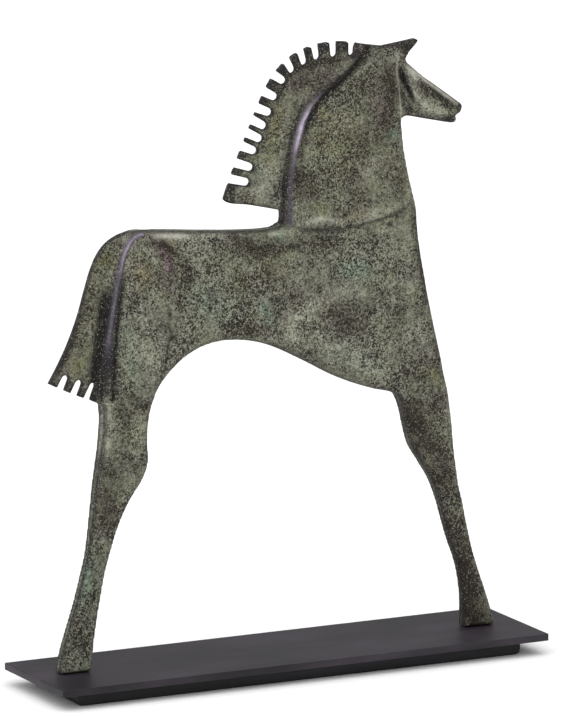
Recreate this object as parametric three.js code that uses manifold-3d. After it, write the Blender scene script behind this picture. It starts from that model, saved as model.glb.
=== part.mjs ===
import * as THREE from 'three';
import { mergeVertices } from 'three/addons/utils/BufferGeometryUtils.js';
import Module from 'manifold-3d';

// A cast aluminium horse in profile, on a two-step plinth. Millimetres, +Z up, the horse faces +X.
// The origin is the middle of the plinth's underside. The casting is the same on both faces,
// so every form is given by its outline in XZ and by its half depth in Y.

// Driving sizes of the plinth
const PLATE_LENGTH = 457;
const PLATE_WIDTH = 114;
const PLATE_THICK = 6;
const PLATE_EDGE = 0.6;
const FOOT_INSET_X = 20;
const FOOT_INSET_Y = 14;
const FOOT_HEIGHT = 12.5;
const FOOT_CORNER = 5;

// Driving sizes of the casting. A rim is the rounding of a form's edge, as a share of its half depth,
// and it takes up at most a given share of the form's half width.
const HOOF_GAP = 0.3;
const HOOF_Z = FOOT_HEIGHT + PLATE_THICK + HOOF_GAP;
const SHEET_DEPTH = 2.9;
const SHEET_BEVEL_DEPTH = 0.9;
const SHEET_BEVEL_WIDTH = 0.7;
const BODY_RIM = 0.62;
const RIDGE_RIM = 0.9;
const EAR_RIM = 0.5;
const RIM_OF_WIDTH = 0.9;
const FACE_CROWN = 0.8;
const RIM_STEPS = 3;

// Mane: where each slot opens along the outer curve, how deep it goes and how far it leans
// from square to the curve. The teeth are uneven, as they were cut by hand.
const MANE_SLOT_MOUTH = 8;
const MANE_SLOT_END = 6.7;
const MANE_SLOTS = [
  { along: 18, depth: 18.7, lean: 7 },
  { along: 32, depth: 17.2, lean: 4 },
  { along: 47, depth: 14.7, lean: 1 },
  { along: 58.9, depth: 15.5, lean: -3 },
  { along: 70.5, depth: 14.7, lean: -5 },
  { along: 81.3, depth: 14.5, lean: 2 },
  { along: 96, depth: 13.7, lean: 0 },
  { along: 112.2, depth: 13, lean: 5 },
  { along: 128.5, depth: 12.3, lean: -6 },
  { along: 143.4, depth: 12.8, lean: -4 },
  { along: 157, depth: 12.8, lean: 0 },
  { along: 174.3, depth: 13, lean: 3 },
  { along: 192.3, depth: 11.5, lean: 8 },
];

// Tail: three slots in the lower edge
const TAIL_SLOT_MOUTH = 8;
const TAIL_SLOT_END = 7;
const TAIL_SLOTS = [
  { along: 11.8, depth: 12.5, lean: 0 },
  { along: 25.3, depth: 13, lean: -2 },
  { along: 38.5, depth: 15, lean: -4 },
];
const EDGE_SPACING = 9;
const SLOT_END_STEPS = 4;

// Mouth: a slot cut across the muzzle, tilted in degrees
const MOUTH = { length: 9, width: 30, height: 1.8, x: 169.6, z: 461.6, tilt: -22 };

// Points closer than this are one point
const MERGE_DISTANCE = 1e-4;

const wasm = await Module();
wasm.setup();

// Closed geometry to manifold solid and back
function toSolid(geometry) {
  const bare = geometry.clone();
  bare.deleteAttribute('normal');
  bare.deleteAttribute('uv');
  const merged = mergeVertices(bare, MERGE_DISTANCE);
  return new wasm.Manifold(new wasm.Mesh({
    numProp: 3,
    vertProperties: new Float32Array(merged.attributes.position.array),
    triVerts: new Uint32Array(merged.index.array),
  }));
}

function toGeometry(solid) {
  const mesh = solid.getMesh();
  const geometry = new THREE.BufferGeometry();
  geometry.setAttribute('position', new THREE.BufferAttribute(mesh.vertProperties, 3));
  geometry.setIndex(new THREE.BufferAttribute(mesh.triVerts, 1));
  return geometry;
}

// Smooth curve through points [x, z] of the profile plane
function curve(points) {
  return new THREE.CatmullRomCurve3(points.map(([x, z]) => new THREE.Vector3(x, 0, z)));
}

// Value between control values, along the same smooth curve that the rails use
function valueCurve(values) {
  return new THREE.CatmullRomCurve3(values.map((value, i) => new THREE.Vector3(i, value, 0)));
}

// Oblong section from a to b, 2 x depth thick, with rounded rims and slightly crowned faces
function rimSection(a, b, depth, rimShare) {
  const across = new THREE.Vector3().subVectors(b, a);
  const half = across.length() / 2;
  across.normalize();
  const middle = new THREE.Vector3().addVectors(a, b).multiplyScalar(0.5);
  const rim = Math.min(depth * rimShare, half * RIM_OF_WIDTH);
  const flat = half - rim;
  const ring = [];
  const add = (u, v) => ring.push(middle.clone().addScaledVector(across, u).setY(v));
  for (let corner = 0; corner < 4; corner++) {
    const signU = corner === 0 || corner === 3 ? 1 : -1;
    const signV = corner < 2 ? 1 : -1;
    for (let step = 0; step <= RIM_STEPS; step++) {
      const angle = (corner + step / RIM_STEPS) * Math.PI / 2;
      add(signU * flat + rim * Math.cos(angle), signV * (depth - rim) + rim * Math.sin(angle));
    }
    const faceFollows = corner === 0 || corner === 2;
    if (faceFollows) add(0, signV * (depth + FACE_CROWN));
  }
  return ring;
}

// Skin over a row of rings with equal counts, closed by flat ends
function skin(rings) {
  const count = rings[0].length;
  const positions = rings.flat().flatMap((p) => [p.x, p.y, p.z]);
  const index = [];
  for (let i = 0; i + 1 < rings.length; i++) {
    for (let k = 0; k < count; k++) {
      const a = i * count + k;
      const b = i * count + (k + 1) % count;
      index.push(a, a + count, b, b, a + count, b + count);
    }
  }
  for (const [row, forward] of [[0, true], [rings.length - 1, false]]) {
    const hub = positions.length / 3;
    const middle = new THREE.Vector3();
    rings[row].forEach((p) => middle.addScaledVector(p, 1 / count));
    positions.push(middle.x, middle.y, middle.z);
    for (let k = 0; k < count; k++) {
      const a = row * count + k;
      const b = row * count + (k + 1) % count;
      index.push(hub, ...(forward ? [a, b] : [b, a]));
    }
  }
  const geometry = new THREE.BufferGeometry();
  geometry.setAttribute('position', new THREE.Float32BufferAttribute(positions, 3));
  geometry.setIndex(index);
  return outward(geometry);
}

// Turn a closed surface so that its faces point outwards
function outward(geometry) {
  const p = geometry.attributes.position;
  const index = geometry.index.array;
  const [a, b, c] = [new THREE.Vector3(), new THREE.Vector3(), new THREE.Vector3()];
  let volume = 0;
  for (let i = 0; i < index.length; i += 3) {
    a.fromBufferAttribute(p, index[i]);
    b.fromBufferAttribute(p, index[i + 1]);
    c.fromBufferAttribute(p, index[i + 2]);
    volume += a.dot(b.cross(c));
  }
  if (volume < 0) {
    for (let i = 0; i < index.length; i += 3) {
      [index[i + 1], index[i + 2]] = [index[i + 2], index[i + 1]];
    }
  }
  return geometry;
}

// Form between two rails: stations are [ax, az, bx, bz, half depth]
function form(stations, stepsPerStation = 2, rimShare = BODY_RIM) {
  const railA = curve(stations.map(([x, z]) => [x, z]));
  const railB = curve(stations.map(([, , x, z]) => [x, z]));
  const depths = valueCurve(stations.map((station) => station[4]));
  const count = (stations.length - 1) * stepsPerStation;
  const rings = [];
  for (let i = 0; i <= count; i++) {
    const t = i / count;
    rings.push(rimSection(railA.getPoint(t), railB.getPoint(t), depths.getPoint(t).y, rimShare));
  }
  return toSolid(skin(rings));
}

// Ridge that stands on both faces along a line: stations are [x, z, half width, half depth]
function ridge(stations, stepsPerStation = 2) {
  const line = curve(stations.map(([x, z]) => [x, z]));
  const widths = valueCurve(stations.map((station) => station[2]));
  const depths = valueCurve(stations.map((station) => station[3]));
  const count = (stations.length - 1) * stepsPerStation;
  const rings = [];
  for (let i = 0; i <= count; i++) {
    const t = i / count;
    const along = line.getTangent(t);
    const side = new THREE.Vector3(-along.z, 0, along.x).multiplyScalar(widths.getPoint(t).y);
    const middle = line.getPoint(t);
    const a = middle.clone().add(side);
    const b = middle.clone().sub(side);
    rings.push(rimSection(a, b, depths.getPoint(t).y, RIDGE_RIM));
  }
  return toSolid(skin(rings));
}

// Faceted wedge: stations are [bridge x, z, half, cheek x, z, half, jaw x, z, half]
function wedge(stations) {
  const rings = stations.map(([bx, bz, b, cx, cz, c, jx, jz, j]) => [
    new THREE.Vector3(bx, b, bz),
    new THREE.Vector3(cx, c, cz),
    new THREE.Vector3(jx, j, jz),
    new THREE.Vector3(jx, -j, jz),
    new THREE.Vector3(cx, -c, cz),
    new THREE.Vector3(bx, -b, bz),
  ]);
  return toSolid(skin(rings));
}

// Edge with tapered, round-ended slots cut square to it, as a row of outline points
function slottedEdge(edge, slots, mouth, end, inward) {
  const length = edge.getLength();
  const outline = [];
  let from = 0;
  const follow = (start, stop) => {
    const steps = Math.max(1, Math.round((stop - start) / EDGE_SPACING));
    for (let i = 0; i <= steps; i++) {
      outline.push(edge.getPointAt((start + (stop - start) * i / steps) / length));
    }
  };
  for (const { along, depth, lean } of slots) {
    follow(from, along - mouth / 2);
    const tangent = edge.getTangentAt(along / length);
    const turn = inward * Math.PI / 2 + THREE.MathUtils.degToRad(lean);
    const into = new THREE.Vector3(
      tangent.x * Math.cos(turn) - tangent.z * Math.sin(turn), 0,
      tangent.x * Math.sin(turn) + tangent.z * Math.cos(turn));
    const side = new THREE.Vector3(-into.z, 0, into.x).multiplyScalar(-inward);
    const centre = edge.getPointAt(along / length).addScaledVector(into, depth - end / 2);
    for (let i = 0; i <= SLOT_END_STEPS; i++) {
      const angle = Math.PI * i / SLOT_END_STEPS;
      outline.push(centre.clone()
        .addScaledVector(side, -Math.cos(angle) * end / 2)
        .addScaledVector(into, Math.sin(angle) * end / 2));
    }
    from = along + mouth / 2;
  }
  follow(from, length);
  return outline;
}

// Thin sheet of an outline in XZ, centred on Y = 0, its edges bevelled within the outline
function sheet(outline, halfDepth) {
  const shape = new THREE.Shape(outline.map((p) => new THREE.Vector2(p.x, p.z)));
  const geometry = new THREE.ExtrudeGeometry(shape, {
    depth: 2 * (halfDepth - SHEET_BEVEL_DEPTH),
    bevelThickness: SHEET_BEVEL_DEPTH,
    bevelSize: SHEET_BEVEL_WIDTH,
    bevelOffset: -SHEET_BEVEL_WIDTH,
    bevelSegments: 1,
    steps: 1,
  });
  geometry.translate(0, 0, -(halfDepth - SHEET_BEVEL_DEPTH));
  geometry.rotateX(Math.PI / 2);
  return toSolid(geometry);
}

// Barrel, from the rump to inside the chest, each station from belly to back
const barrel = form([
  [-146, 330, -150, 380, 8],
  [-124, 240, -138, 388.8, 11],
  [-113.5, 257, -126, 388.7, 12],
  [-98, 273.5, -108, 387, 12.5],
  [-80, 284, -85, 384.7, 12.5],
  [-62, 288.6, -65, 382.8, 12.5],
  [-42, 288.6, -42, 380.9, 12.5],
  [-20, 284.3, -20, 379.6, 12.7],
  [0, 276.2, 0, 379, 13],
  [25, 263.3, 25, 378, 13],
  [55, 247, 55, 376, 13],
  [85, 235.5, 85, 374, 13],
  [108, 229, 112, 372, 12.5],
  [122, 240, 122, 360, 10],
]);

// Haunch and hind leg, each station from the rear edge to the front edge
const hind = form([
  [-147, 384, -131, 386, 9],
  [-151, 372, -114, 376, 13.5],
  [-154, 355, -104.5, 361, 14.5],
  [-157, 330, -102.5, 335, 15],
  [-159, 300, -105, 305, 15],
  [-160.5, 270, -114, 279, 14.5],
  [-163.3, 247, -118, 252, 13],
  [-164.5, 228, -124.6, 234, 12],
  [-166.6, 208, -126.3, 212, 11],
  [-169.5, 190, -124.3, 192, 10],
  [-171.6, 176, -129, 178, 9.5],
  [-174, 157, -141, 162, 8.8],
  [-176.3, 138, -151, 142, 8.2],
  [-179.5, 117, -158.5, 121, 7.7],
  [-184.2, 98, -164, 102, 7.3],
  [-189.8, 78, -168, 82, 7],
  [-196.4, 58, -171.8, 62, 7],
  [-202.4, 39, -174.8, 42, 7.3],
  [-206.6, HOOF_Z, -177.6, HOOF_Z, 7.8],
]);

// Shoulder, chest and fore leg, each station from the rear edge to the front edge
const fore = form([
  [20, 372, 127.3, 378, 11],
  [14, 350, 128.6, 360, 13],
  [12, 325, 132.8, 335, 14],
  [18, 300, 137.9, 308, 14.5],
  [32, 276, 143.5, 283, 14.5],
  [58, 256, 149, 260, 14],
  [88, 240, 153.5, 240, 13],
  [110.2, 228.5, 157, 226, 12.2],
  [115.4, 215, 159.5, 211, 11.5],
  [119.4, 199, 161.5, 196, 10.8],
  [124.5, 181, 163.5, 178, 10],
  [133.5, 166.5, 165.8, 162, 9.5],
  [143.5, 150, 168.6, 145, 9],
  [150, 134, 172.6, 129, 8.5],
  [155.4, 116, 177, 109, 8],
  [161, 97, 181.8, 89, 7.5],
  [168, 78, 187.8, 70, 7.2],
  [173, 58, 194.5, 51, 7.2],
  [174.2, 38, 200, 34, 7.6],
  [174.3, HOOF_Z, 203.6, HOOF_Z, 7.8],
]);

// Neck, each station from the crest to the throat
const neck = form([
  [-8, 372, 127, 372, 10],
  [0, 380.5, 127.5, 380, 12],
  [2.7, 388, 126, 390, 12],
  [2, 400, 122.8, 402, 10],
  [2.3, 415, 118.7, 420, 9.3],
  [5.5, 432, 115.2, 438, 9],
  [9.5, 448, 113.6, 455, 9],
  [14.5, 463, 112.6, 471, 9],
  [21.5, 478, 111, 485, 9],
  [32, 491, 109.5, 497, 9],
  [48, 503.5, 108.3, 506, 8.5],
  [61, 515, 107.3, 514, 7.8],
  [71, 524, 107, 520, 7.2],
  [80, 528.4, 107, 525.6, 6.6],
]);

// Lip where the neck stands proud of the shoulder
const neckLip = ridge([
  [5, 383.5, 2, 13],
  [15, 380.3, 2.4, 14.8],
  [28, 378, 3, 15.7],
  [44, 377.6, 3, 15.7],
  [56, 378.2, 2.4, 14.6],
  [70, 379.3, 2, 14],
  [88, 382.5, 1.8, 13.6],
  [106, 386.8, 1.6, 13.2],
]);

// Roll along the crest, between the neck and the mane, which runs out at the mane's upper edge
const crestRoll = ridge([
  [7, 384, 4.3, 10],
  [5.8, 400, 4.3, 9.9],
  [7, 418, 4.4, 9.9],
  [10, 435.5, 4.5, 9.9],
  [14, 452, 4.5, 9.9],
  [19, 467.5, 4.5, 9.8],
  [25.5, 479.5, 4.5, 9.8],
  [33, 488.5, 4.4, 9.7],
  [43.5, 497.5, 4.2, 9.5],
  [53, 505, 4, 9],
  [61.5, 512.5, 3.8, 8.5],
  [69, 521, 3.6, 8],
  [74.5, 528, 3.2, 7.4],
]);

// Head, as a faceted wedge from the poll to the muzzle
const head = wedge([
  [108, 519, 6.5, 108, 500, 8.5, 108, 464.4, 8],
  [117, 513, 6, 116, 502, 10.5, 118, 465, 7],
  [124, 506.5, 5, 121.5, 486.5, 11.5, 125, 464, 6.5],
  [133, 498.8, 4.5, 128, 475, 11, 134, 462, 6],
  [145, 490.3, 4.2, 141, 468.5, 9.5, 146, 459.3, 5.5],
  [157, 481.5, 4, 154, 464.5, 8, 156, 457, 5],
  [167, 474.2, 3.8, 164, 462, 6.4, 163, 456, 4.5],
  [172, 470.6, 3.5, 170.2, 465.5, 4.6, 165.4, 456.3, 3.8],
]);

// Ear, laid forward in line with the top of the head
const ear = form([
  [92, 508, 92, 526, 6],
  [108, 511, 108, 527, 6],
  [120.5, 517.2, 119.5, 528.6, 4.2],
  [128.6, 526.2, 129.6, 529.6, 2],
], 1, EAR_RIM);

const mouth = new THREE.BoxGeometry(MOUTH.length, MOUTH.width, MOUTH.height);
mouth.rotateY(THREE.MathUtils.degToRad(MOUTH.tilt));
mouth.translate(MOUTH.x, 0, MOUTH.z);

// Mane: a thin toothed sheet behind the crest
const maneEdge = curve([
  [-51.5, 408], [-45.5, 424], [-37.5, 443], [-29, 462], [-20, 482], [-11, 500], [0, 514.5],
  [14, 525], [30, 531.2], [48, 533.4], [64, 532.3], [80, 529], [97, 526],
]);
const maneUnderside = [[0, 394.6], [-5, 395.2], [-14, 398.3], [-30, 402], [-48, 405]];
const maneOutline = [
  new THREE.Vector3(100, 0, 512),
  new THREE.Vector3(50, 0, 470),
  new THREE.Vector3(30, 0, 420),
  new THREE.Vector3(8, 0, 392),
  ...maneUnderside.map(([x, z]) => new THREE.Vector3(x, 0, z)),
  ...slottedEdge(maneEdge, MANE_SLOTS, MANE_SLOT_MOUTH, MANE_SLOT_END, -1),
];
const mane = sheet(maneOutline, SHEET_DEPTH);

// Tail: a thin sheet behind the haunch, slotted along its lower edge, which runs into the leg
const tailBack = curve([
  [-136, 388.8], [-149, 386.5], [-160, 380.5], [-168.5, 371], [-174.2, 359.5], [-180, 342],
  [-186.6, 320.5], [-195.6, 298.5], [-205, 280.5],
]);
const tailHem = curve([[-213.8, 266.2], [-200, 259.5], [-186, 253.2], [-169, 246], [-161, 242.6]]);
const tailOutline = [
  new THREE.Vector3(-150, 0, 255),
  new THREE.Vector3(-140, 0, 300),
  new THREE.Vector3(-130, 0, 380),
  ...tailBack.getPoints(16),
  ...slottedEdge(tailHem, TAIL_SLOTS, TAIL_SLOT_MOUTH, TAIL_SLOT_END, 1),
];
const tail = sheet(tailOutline, SHEET_DEPTH);

// Roll down the root of the tail
const tailRoll = ridge([
  [-135, 385.4, 2.6, 12.5],
  [-142.5, 381.2, 3.6, 14],
  [-149, 371.5, 4.2, 15],
  [-153, 359, 4.4, 15.6],
  [-156.8, 344, 4.6, 15.5],
  [-159.6, 329, 4.8, 15],
  [-161.9, 314, 5, 14],
  [-163.8, 298, 5.2, 12.6],
  [-165.6, 282, 5.4, 11],
  [-167, 266, 5.4, 9.2],
  [-167.8, 250, 5.2, 8.6],
]);

// The casting, joined as one solid
const casting = [hind, fore, neck, neckLip, crestRoll, head, ear, mane, tail, tailRoll]
  .reduce((whole, piece) => whole.add(piece), barrel)
  .subtract(toSolid(mouth));

const aluminium = new THREE.MeshStandardMaterial({ color: 0x6b6a5f, roughness: 0.62, metalness: 0.75 });
const horse = new THREE.Mesh(toGeometry(casting), aluminium);
horse.name = 'horse';

// Plinth: a thin square-edged plate on a shallower foot with rounded lower ends
const blackPaint = new THREE.MeshStandardMaterial({ color: 0x35333a, roughness: 0.45, metalness: 0.2 });
const plateShape = new THREE.Shape();
plateShape.moveTo(-PLATE_LENGTH / 2, -PLATE_WIDTH / 2);
plateShape.lineTo(PLATE_LENGTH / 2, -PLATE_WIDTH / 2);
plateShape.lineTo(PLATE_LENGTH / 2, PLATE_WIDTH / 2);
plateShape.lineTo(-PLATE_LENGTH / 2, PLATE_WIDTH / 2);
const plateGeometry = new THREE.ExtrudeGeometry(plateShape, {
  depth: PLATE_THICK - 2 * PLATE_EDGE,
  bevelThickness: PLATE_EDGE,
  bevelSize: PLATE_EDGE,
  bevelOffset: -PLATE_EDGE,
  bevelSegments: 1,
});
const plate = new THREE.Mesh(plateGeometry, blackPaint.clone());
plate.name = 'plinth_plate';
plate.position.z = FOOT_HEIGHT + PLATE_EDGE;

const footHalf = PLATE_LENGTH / 2 - FOOT_INSET_X;
const footWidth = PLATE_WIDTH - 2 * FOOT_INSET_Y;
const footShape = new THREE.Shape();
footShape.moveTo(-footHalf + FOOT_CORNER, 0);
footShape.lineTo(footHalf - FOOT_CORNER, 0);
footShape.absarc(footHalf - FOOT_CORNER, FOOT_CORNER, FOOT_CORNER, -Math.PI / 2, 0);
footShape.lineTo(footHalf, FOOT_HEIGHT);
footShape.lineTo(-footHalf, FOOT_HEIGHT);
footShape.absarc(-footHalf + FOOT_CORNER, FOOT_CORNER, FOOT_CORNER, Math.PI, Math.PI * 1.5);
const footGeometry = new THREE.ExtrudeGeometry(footShape, {
  depth: footWidth,
  bevelEnabled: false,
  curveSegments: 8,
});
footGeometry.rotateX(Math.PI / 2);
footGeometry.translate(0, footWidth / 2, 0);
const foot = new THREE.Mesh(footGeometry, blackPaint.clone());
foot.name = 'plinth_foot';

const group = new THREE.Group();
group.add(horse, plate, foot);

export default group;
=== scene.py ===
"""Aluminium horse figure in profile on a two-step black plinth.

The casting is a relief seen from both sides. In the XZ plane it has one closed outline, and at each point
inside it a half depth h. The near face lies at y = -h and the far face at y = +h, and a wall joins them
along the outline. In words: h is the form's thickness there, less the rim radius, plus the height of a
quarter circle of that radius at the point's distance from the outline.
"""
import math

import bpy
import numpy as np
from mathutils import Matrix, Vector


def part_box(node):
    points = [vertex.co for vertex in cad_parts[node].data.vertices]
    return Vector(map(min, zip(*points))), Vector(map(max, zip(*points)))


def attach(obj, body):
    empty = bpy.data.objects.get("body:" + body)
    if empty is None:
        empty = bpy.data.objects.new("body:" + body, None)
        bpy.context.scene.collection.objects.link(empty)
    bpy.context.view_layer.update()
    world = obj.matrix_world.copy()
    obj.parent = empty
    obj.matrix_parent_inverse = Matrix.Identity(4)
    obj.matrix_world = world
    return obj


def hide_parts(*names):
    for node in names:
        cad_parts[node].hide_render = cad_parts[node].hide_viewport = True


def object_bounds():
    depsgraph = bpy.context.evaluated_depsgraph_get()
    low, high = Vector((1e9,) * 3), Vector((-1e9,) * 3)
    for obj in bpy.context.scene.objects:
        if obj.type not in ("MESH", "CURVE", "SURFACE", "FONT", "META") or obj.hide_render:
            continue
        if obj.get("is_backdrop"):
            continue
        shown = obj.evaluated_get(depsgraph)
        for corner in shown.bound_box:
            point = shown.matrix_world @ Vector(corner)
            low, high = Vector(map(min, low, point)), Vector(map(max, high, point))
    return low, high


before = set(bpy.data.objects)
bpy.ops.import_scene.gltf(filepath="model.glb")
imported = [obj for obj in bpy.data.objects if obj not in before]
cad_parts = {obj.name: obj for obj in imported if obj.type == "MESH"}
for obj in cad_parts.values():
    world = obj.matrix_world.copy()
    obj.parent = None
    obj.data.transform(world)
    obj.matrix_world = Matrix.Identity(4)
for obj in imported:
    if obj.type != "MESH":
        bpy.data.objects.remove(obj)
cad_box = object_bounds()

# The plinth's foot.
# A wooden slab set back under the plate, with its two lower ends rounded off, glued and screwed up into
# the plate and painted satin black.
MM = 0.001
FOOT_ROUND = 5.0
FOOT_EDGE = 0.8
CORNER_STEPS = 9
EDGE_STEPS = 5
PAINT_SHEEN = 0.25
GRAIN_DEPTH = 0.1
FOOT_PAINT = {
    "colours": ("#121114", "#262329"), "roughness": (0.4, 0.6), "patch": 14.0, "patch_detail": 3.0,
    "spread": (0.45, 0.75), "stretch": 0.12, "grain": 1.4, "grain_detail": 2.0, "grain_stretch": 0.12,
    "grain_strength": 0.2,
}


def slab(half_u, half_v, radii, thickness, edge):
    """Points (u, v, w) and faces of a slab whose corners and edges are rounded.

    Ring point = corner centre + (corner radius - inset) * direction, where direction turns a quarter circle
    at each corner. Through the thickness w the inset falls from `edge` to 0 on a quarter circle, stays, and
    rises on another.
    """
    quarter = np.linspace(0, np.pi / 2, EDGE_STEPS)
    inset = edge * (1 - np.concatenate([np.sin(quarter), np.cos(quarter)]))
    w = np.concatenate([edge * (1 - np.cos(quarter)), thickness - edge * (1 - np.sin(quarter))])
    turn = np.arange(4)[:, None] * np.pi / 2 + np.linspace(0, np.pi / 2, CORNER_STEPS)
    direction = np.stack([np.cos(turn), np.sin(turn)], -1)
    radius = np.array(radii, float)[:, None, None]
    sign = np.array([(1, 1), (-1, 1), (-1, -1), (1, -1)])[:, None, :]
    centre = sign * (np.array([half_u, half_v]) - radius)
    ring = centre + (radius - inset[:, None, None, None]) * direction
    count = 4 * CORNER_STEPS
    rings = ring.reshape(len(inset), count, 2)
    points = np.concatenate([rings, np.broadcast_to(w[:, None, None], (len(inset), count, 1))], -1)
    at = np.arange(len(inset) - 1)[:, None] * count + np.arange(count)
    after = np.arange(len(inset) - 1)[:, None] * count + (np.arange(count) + 1) % count
    sides = np.stack([at, after, after + count, at + count], -1).reshape(-1, 4).tolist()
    top = (np.arange(count) + (len(inset) - 1) * count).tolist()
    return points.reshape(-1, 3), [*sides, top, np.arange(count)[::-1].tolist()]


def linear(hex_colour):
    """Linear RGBA of an sRGB hex colour."""
    value = np.array([int(hex_colour[i:i + 2], 16) for i in (1, 3, 5)]) / 255
    value = np.where(value <= 0.04045, value / 12.92, ((value + 0.055) / 1.055) ** 2.4)
    return (*value.tolist(), 1.0)


def add(tree, kind, inputs=None, **settings):
    """New node in a tree: `settings` are its properties, and `inputs` gives each socket a value or a link."""
    node = tree.nodes.new(kind)
    for name, value in settings.items():
        setattr(node, name, value)
    for name, value in (inputs or {}).items():
        if isinstance(value, bpy.types.NodeSocket):
            tree.links.new(value, node.inputs[name])
        else:
            node.inputs[name].default_value = value
    return node


def new_object(name, points, faces):
    """New object at the origin, whose mesh has points given in mm."""
    mesh = bpy.data.meshes.new(name)
    mesh.from_pydata((points * MM).tolist(), [], faces)
    thing = bpy.data.objects.new(name, mesh)
    bpy.context.collection.objects.link(thing)
    return thing


def satin_black(name, paint):
    """Satin black paint, whose colour and roughness both pass from one value to another in patches.

    The patches are noise of `patch` mm, drawn out along X where `stretch` is below 1. They show between the
    two limits of `spread`. A fine grain of `grain` mm stands up from the coat.
    """
    material = bpy.data.materials.new(name)
    material.use_nodes = True
    tree = material.node_tree
    shader = tree.nodes["Principled BSDF"]
    shader.inputs["Specular IOR Level"].default_value = PAINT_SHEEN
    place = add(tree, "ShaderNodeTexCoord").outputs["Object"]
    noise = {}
    for kind, stretch in (("patch", paint["stretch"]), ("grain", paint["grain_stretch"])):
        inputs = {"Vector": place, "Scale": (stretch, 1, 1)}
        drawn_out = add(tree, "ShaderNodeMapping", inputs).outputs["Vector"]
        inputs = {"Vector": drawn_out, "Scale": 1 / (paint[kind] * MM), "Detail": paint[kind + "_detail"]}
        noise[kind] = add(tree, "ShaderNodeTexNoise", inputs).outputs["Fac"]
    inputs = {"Value": noise["patch"], "From Min": paint["spread"][0], "From Max": paint["spread"][1]}
    share = add(tree, "ShaderNodeMapRange", inputs).outputs["Result"]
    inputs = {0: share, 6: linear(paint["colours"][0]), 7: linear(paint["colours"][1])}
    colour = add(tree, "ShaderNodeMix", inputs, data_type="RGBA").outputs[2]
    inputs = {"Value": noise["patch"], "To Min": paint["roughness"][0], "To Max": paint["roughness"][1]}
    rough = add(tree, "ShaderNodeMapRange", inputs).outputs["Result"]
    inputs = {"Strength": paint["grain_strength"], "Distance": GRAIN_DEPTH * MM, "Height": noise["grain"]}
    bumps = add(tree, "ShaderNodeBump", inputs).outputs["Normal"]
    tree.links.new(colour, shader.inputs["Base Color"])
    tree.links.new(rough, shader.inputs["Roughness"])
    tree.links.new(bumps, shader.inputs["Normal"])
    return material


low, high = (np.array(corner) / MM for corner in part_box("plinth_foot"))
half = (high - low) / 2
radii = [2 * FOOT_EDGE, 2 * FOOT_EDGE, FOOT_ROUND, FOOT_ROUND]
corners, faces = slab(half[0], half[2], radii, 2 * half[1], FOOT_EDGE)
corners = np.stack([corners[:, 0], half[1] - corners[:, 2], corners[:, 1] + (high[2] + low[2]) / 2], 1)
foot = new_object("painted_foot", corners, faces)
foot.data.polygons.foreach_set("use_smooth", [True] * (len(faces) - 2) + [False, False])
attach(foot, "root")
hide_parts("plinth_foot")

# Satin black paint brushed on wood: a dull sheen, faint brush marks along the length and a fine grain.
foot.data.materials.append(satin_black("brushed_satin_black_paint", FOOT_PAINT))

# The plinth's plate.
# A flat steel plate that the hooves are screwed down to from below, its edges just broken, sprayed with
# satin black paint.
PLATE_CORNER = 1.2
PLATE_EDGE = 0.6
PLATE_PAINT = {
    "colours": ("#1b181d", "#332d35"), "roughness": (0.38, 0.6), "patch": 30.0, "patch_detail": 5.0,
    "spread": (0.4, 0.65), "stretch": 0.35, "grain": 1.1, "grain_detail": 1.0, "grain_stretch": 1.0,
    "grain_strength": 0.15,
}

low, high = (np.array(corner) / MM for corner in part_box("plinth_plate"))
half = (high - low) / 2
corners, faces = slab(half[0], half[1], [PLATE_CORNER] * 4, 2 * half[2], PLATE_EDGE)
corners[:, 2] += low[2]
plate = new_object("painted_plate", corners, faces)
plate.data.polygons.foreach_set("use_smooth", [True] * (len(faces) - 2) + [False, False])
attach(plate, "root")
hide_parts("plinth_plate")

# Satin black paint sprayed on steel: a dull sheen with a fine pebbled grain, and faint dusty patches that
# were wiped along its length.
plate.data.materials.append(satin_black("sprayed_satin_black_paint", PLATE_PAINT))

# The horse.
# One sand-cast aluminium piece, a thick plate in profile whose mane and tail are thin sheets with teeth
# sawn into their edges. It is fixed to the plate from below. Its sizes are true millimetres in X and Z.
SPAN_STEPS = 14
HOOF_Z = 18.6
TOOTH_END_STEPS = 9


def smooth_line(points, steps=SPAN_STEPS):
    """Smooth curve through points, as an array of points.

    Each span is a cubic whose end slopes come from the steps to the neighbouring points, each divided by
    the square root of its length, so that the curve keeps close to unevenly spaced points.
    """
    p = np.asarray(points, float)
    p = np.vstack([2 * p[0] - p[1], p, 2 * p[-1] - p[-2]])
    rise = np.diff(p, axis=0)
    knot = np.sqrt(np.linalg.norm(rise, axis=1))[:, None]
    before, here, after = knot[:-2], knot[1:-1], knot[2:]
    slope = rise / knot
    leave = here * (slope[:-2] - (p[2:-1] - p[:-3]) / (before + here) + slope[1:-1])
    arrive = here * (slope[1:-1] - (p[3:] - p[1:-2]) / (here + after) + slope[2:])
    t = np.linspace(0, 1, steps, endpoint=False)[None, :, None]
    start, end = p[1:-2, None, :], p[2:-1, None, :]
    curve = (
        start * (2 * t**3 - 3 * t**2 + 1)
        + leave[:, None, :] * (t**3 - 2 * t**2 + t)
        + end * (3 * t**2 - 2 * t**3)
        + arrive[:, None, :] * (t**3 - t**2)
    )
    return np.vstack([curve.reshape(-1, 2), p[-2:-1]])


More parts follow.
